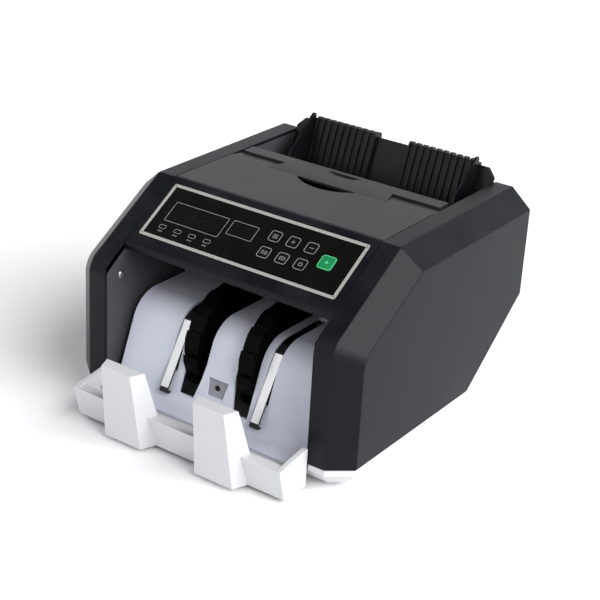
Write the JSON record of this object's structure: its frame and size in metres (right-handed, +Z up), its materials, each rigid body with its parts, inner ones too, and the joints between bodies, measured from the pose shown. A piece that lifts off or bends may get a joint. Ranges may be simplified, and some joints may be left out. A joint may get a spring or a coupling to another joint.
{
  "type": "banknote counting machine",
  "caption": "Table-top banknote counter: rear bill hopper with sliding guides, feed rollers, bladed stacker wheels, front stacker tray with stop fingers and a sloping keypad.",
  "frame": {"origin": "centre of the bounding box's bottom, on the surface that the feet stand on", "axes": "+Z up; the stacker tray and the keypad face -Y; +X is on the right of a person who stands in front"},
  "size_m": [0.25, 0.291, 0.1794],
  "materials": {
    "white_plastic": "satin",
    "grey_plastic": "satin",
    "dark_plastic": "fine texture",
    "cover_plastic": "fine texture",
    "black_plastic": "satin",
    "overlay": "gloss",
    "lens": "gloss",
    "key_black": "satin",
    "start_green": "satin",
    "board": "satin",
    "steel": "satin",
    "supply_metal": "satin",
    "rubber": "matt"
  },
  "bodies": {
    "cabinet": {"base_tub": "white_plastic", "front_tray": "white_plastic", "foot_front_left": "rubber", "foot_front_right": "rubber", "foot_rear_left": "rubber", "foot_rear_right": "rubber", "side_shell_left": "dark_plastic", "side_shell_right": "dark_plastic", "side_frame_left": "steel", "side_frame_right": "steel", "panel_housing": "dark_plastic", "keypad_overlay": "overlay", "display_main": "lens", "display_batch": "lens", "display_board": "board", "hopper_bar": "cover_plastic", "feed_deck": "dark_plastic", "hopper_body": "black_plastic", "retard_roller": "rubber", "stacker_face": "grey_plastic", "guide_strip_left": "steel", "guide_strip_right": "steel", "stacker_sensor": "grey_plastic", "main_motor": "steel", "feed_belt": "rubber", "stacker_belt": "rubber", "main_board": "board", "power_supply": "supply_metal", "power_inlet": "black_plastic", "rear_panel": "dark_plastic", "shell_screw_left": "steel", "shell_screw_right": "steel", "stacker_bearing_left": "steel", "stacker_bearing_right": "steel"},
    "stacker_rotor": {"stacker_shaft": "steel", "stacker_wheel_left": "rubber", "stacker_wheel_right": "rubber", "stacker_pulley": "steel"},
    "feed_rotor": {"feed_shaft": "steel", "feed_roller_left": "rubber", "feed_roller_right": "rubber", "feed_pulley": "steel"},
    "pickup_rotor": {"pickup_shaft": "steel", "pickup_roller_left": "rubber", "pickup_roller_right": "rubber", "pickup_pulley": "steel"},
    "motor_rotor": {"motor_pulley": "steel"},
    "guide_left": {"bill_guide_left": "black_plastic"},
    "guide_right": {"bill_guide_right": "black_plastic"},
    "cover": {"top_cover": "cover_plastic"},
    "rocker": {"power_switch": "black_plastic"},
    "gap_knob": {"feed_gap_knob": "black_plastic"},
    "key_function_cap": {"key_function": "key_black"},
    "key_plus_cap": {"key_plus": "key_black"},
    "key_minus_cap": {"key_minus": "key_black"},
    "key_mode_cap": {"key_mode": "key_black"},
    "key_batch_cap": {"key_batch": "key_black"},
    "key_restart_cap": {"key_restart": "key_black"},
    "key_start_cap": {"key_start": "start_green"}
  },
  "joints": [
    {"name": "feed_spin", "type": "hinge", "parent": "cabinet", "child": "feed_rotor", "pos_m": [0, 0.05046, 0.084], "axis": [1, 0, 0], "continuous": true},
    {"name": "pickup_spin", "type": "hinge", "parent": "cabinet", "child": "pickup_rotor", "pos_m": [0, 0.09646, 0.084], "axis": [1, 0, 0], "continuous": true},
    {"name": "stacker_spin", "type": "hinge", "parent": "cabinet", "child": "stacker_rotor", "pos_m": [0, -0.04154, 0.057], "axis": [1, 0, 0], "continuous": true},
    {"name": "motor_spin", "type": "hinge", "parent": "cabinet", "child": "motor_rotor", "pos_m": [-0.104, 0.07546, 0.034], "axis": [1, 0, 0], "continuous": true},
    {"name": "guide_left_slide", "type": "slide", "parent": "cabinet", "child": "guide_left", "axis": [1, 0, 0], "range_m": [-0.014, 0.014]},
    {"name": "guide_right_slide", "type": "slide", "parent": "cabinet", "child": "guide_right", "axis": [1, 0, 0], "range_m": [-0.014, 0.014]},
    {"name": "key_function_press", "type": "slide", "parent": "cabinet", "child": "key_function_cap", "axis": [0, 0.533, -0.8461], "range_m": [0, 0.0005], "stiffness_N_per_m": 1500},
    {"name": "key_plus_press", "type": "slide", "parent": "cabinet", "child": "key_plus_cap", "axis": [0, 0.533, -0.8461], "range_m": [0, 0.0005], "stiffness_N_per_m": 1500},
    {"name": "key_minus_press", "type": "slide", "parent": "cabinet", "child": "key_minus_cap", "axis": [0, 0.533, -0.8461], "range_m": [0, 0.0005], "stiffness_N_per_m": 1500},
    {"name": "key_mode_press", "type": "slide", "parent": "cabinet", "child": "key_mode_cap", "axis": [0, 0.533, -0.8461], "range_m": [0, 0.0005], "stiffness_N_per_m": 1500},
    {"name": "key_batch_press", "type": "slide", "parent": "cabinet", "child": "key_batch_cap", "axis": [0, 0.533, -0.8461], "range_m": [0, 0.0005], "stiffness_N_per_m": 1500},
    {"name": "key_restart_press", "type": "slide", "parent": "cabinet", "child": "key_restart_cap", "axis": [0, 0.533, -0.8461], "range_m": [0, 0.0005], "stiffness_N_per_m": 1500},
    {"name": "key_start_press", "type": "slide", "parent": "cabinet", "child": "key_start_cap", "axis": [0, 0.533, -0.8461], "range_m": [0, 0.0005], "stiffness_N_per_m": 1500},
    {"name": "cover_hinge", "type": "hinge", "parent": "cabinet", "child": "cover", "pos_m": [0, -0.01804, 0.16], "axis": [1, 0, 0], "range_deg": [0, 75]},
    {"name": "switch_rock", "type": "hinge", "parent": "cabinet", "child": "rocker", "pos_m": [-0.028, 0.13936, 0.04], "axis": [1, 0, 0], "range_deg": [-16, 0]},
    {"name": "knob_turn", "type": "hinge", "parent": "cabinet", "child": "gap_knob", "pos_m": [0, 0.01246, 0.15], "axis": [0, 0, 1], "range_deg": [-150, 150]}
  ],
  "couplings": [
    {"joint": "pickup_spin", "follows": "feed_spin", "ratio": 1},
    {"joint": "stacker_spin", "follows": "feed_spin", "ratio": 0.625},
    {"joint": "motor_spin", "follows": "feed_spin", "ratio": 1.25}
  ]
}
